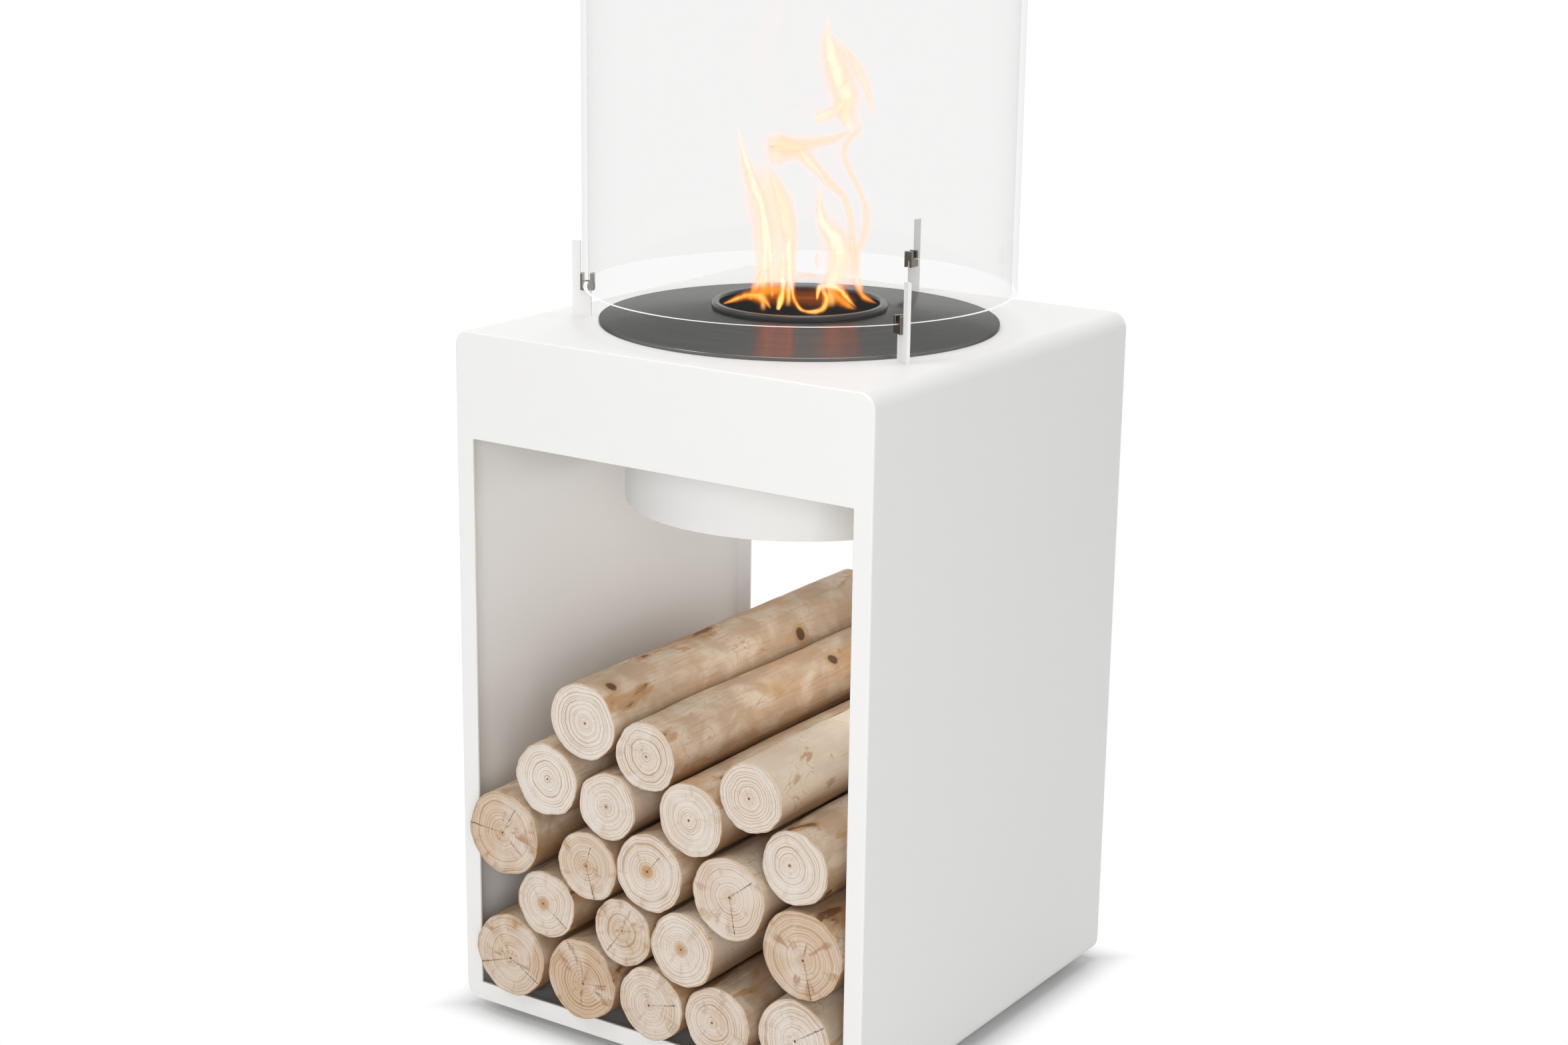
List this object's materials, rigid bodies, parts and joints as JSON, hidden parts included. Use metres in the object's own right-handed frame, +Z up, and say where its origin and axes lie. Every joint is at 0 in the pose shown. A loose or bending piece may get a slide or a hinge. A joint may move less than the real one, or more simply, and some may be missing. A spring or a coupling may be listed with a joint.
{
  "type": "ethanol fireplace with log store",
  "caption": "Free-standing ethanol fireplace: open white steel casing that stores logs, round burner in its top and a glass tube round the flame.",
  "frame": {"origin": "on the floor, under the middle of the casing", "axes": "+Z up, +X to the right seen from the front, the front window faces -Y"},
  "size_m": [0.425, 0.458, 1.059],
  "materials": {
    "white_coat": "matt white powder coat on sheet steel",
    "dark_steel": "dark steel brushed in circles",
    "black_enamel": "satin black heat-proof enamel",
    "tank_steel": "plain stainless sheet",
    "clip_steel": "bronzed stainless steel",
    "zinc_steel": "bright zinc plate",
    "clear_glass": "clear polished glass",
    "ceramic_wool": "felted ceramic fibre",
    "foot_plastic": "black moulded plastic",
    "peeled_pine": "peeled round pine with sawn ends"
  },
  "bodies": {
    "casing": {"casing_wrap": "white_coat", "front_frame": "white_coat", "rear_frame": "white_coat", "burner_drum": "white_coat", "drum_studs": "zinc_steel", "drum_nuts": "zinc_steel", "post_rear": "white_coat", "post_left": "white_coat", "post_right": "white_coat", "clip_rear": "clip_steel", "clip_left": "clip_steel", "clip_right": "clip_steel", "post_nuts": "zinc_steel", "foot_nuts": "zinc_steel"},
    "glass": {"glass_screen": "clear_glass"},
    "burner": {"burner_plate": "dark_steel", "mouth_collar": "black_enamel", "lock_ring": "zinc_steel", "fuel_tank": "tank_steel", "wick_pad": "ceramic_wool"},
    "log_pile": {"log_01": "peeled_pine", "log_02": "peeled_pine", "log_03": "peeled_pine", "log_04": "peeled_pine", "log_05": "peeled_pine", "log_06": "peeled_pine", "log_07": "peeled_pine", "log_08": "peeled_pine", "log_09": "peeled_pine", "log_10": "peeled_pine", "log_11": "peeled_pine", "log_12": "peeled_pine", "log_13": "peeled_pine", "log_14": "peeled_pine", "log_15": "peeled_pine", "log_16": "peeled_pine", "log_17": "peeled_pine", "log_18": "peeled_pine", "log_19": "peeled_pine", "log_20": "peeled_pine"},
    "foot_front_left": {"foot_front_left": "foot_plastic"},
    "foot_front_right": {"foot_front_right": "foot_plastic"},
    "foot_rear_left": {"foot_rear_left": "foot_plastic"},
    "foot_rear_right": {"foot_rear_right": "foot_plastic"}
  },
  "joints": [
    {"name": "glass_lift", "type": "slide", "parent": "casing", "child": "glass", "axis": [0, 0, 1], "range_m": [0, 0.12]},
    {"name": "burner_lift", "type": "slide", "parent": "casing", "child": "burner", "axis": [0, 0, 1], "range_m": [0, 0.16]},
    {"name": "log_pull", "type": "slide", "parent": "casing", "child": "log_pile", "axis": [0, -1, 0], "range_m": [0, 0.48]},
    {"name": "foot_turn_front_left", "type": "hinge", "parent": "casing", "child": "foot_front_left", "pos_m": [-0.1675, -0.1675, 0.004], "axis": [0, 0, 1], "continuous": true},
    {"name": "foot_turn_front_right", "type": "hinge", "parent": "casing", "child": "foot_front_right", "pos_m": [0.1675, -0.1675, 0.004], "axis": [0, 0, 1], "continuous": true},
    {"name": "foot_turn_rear_left", "type": "hinge", "parent": "casing", "child": "foot_rear_left", "pos_m": [-0.1675, 0.1675, 0.004], "axis": [0, 0, 1], "continuous": true},
    {"name": "foot_turn_rear_right", "type": "hinge", "parent": "casing", "child": "foot_rear_right", "pos_m": [0.1675, 0.1675, 0.004], "axis": [0, 0, 1], "continuous": true}
  ]
}
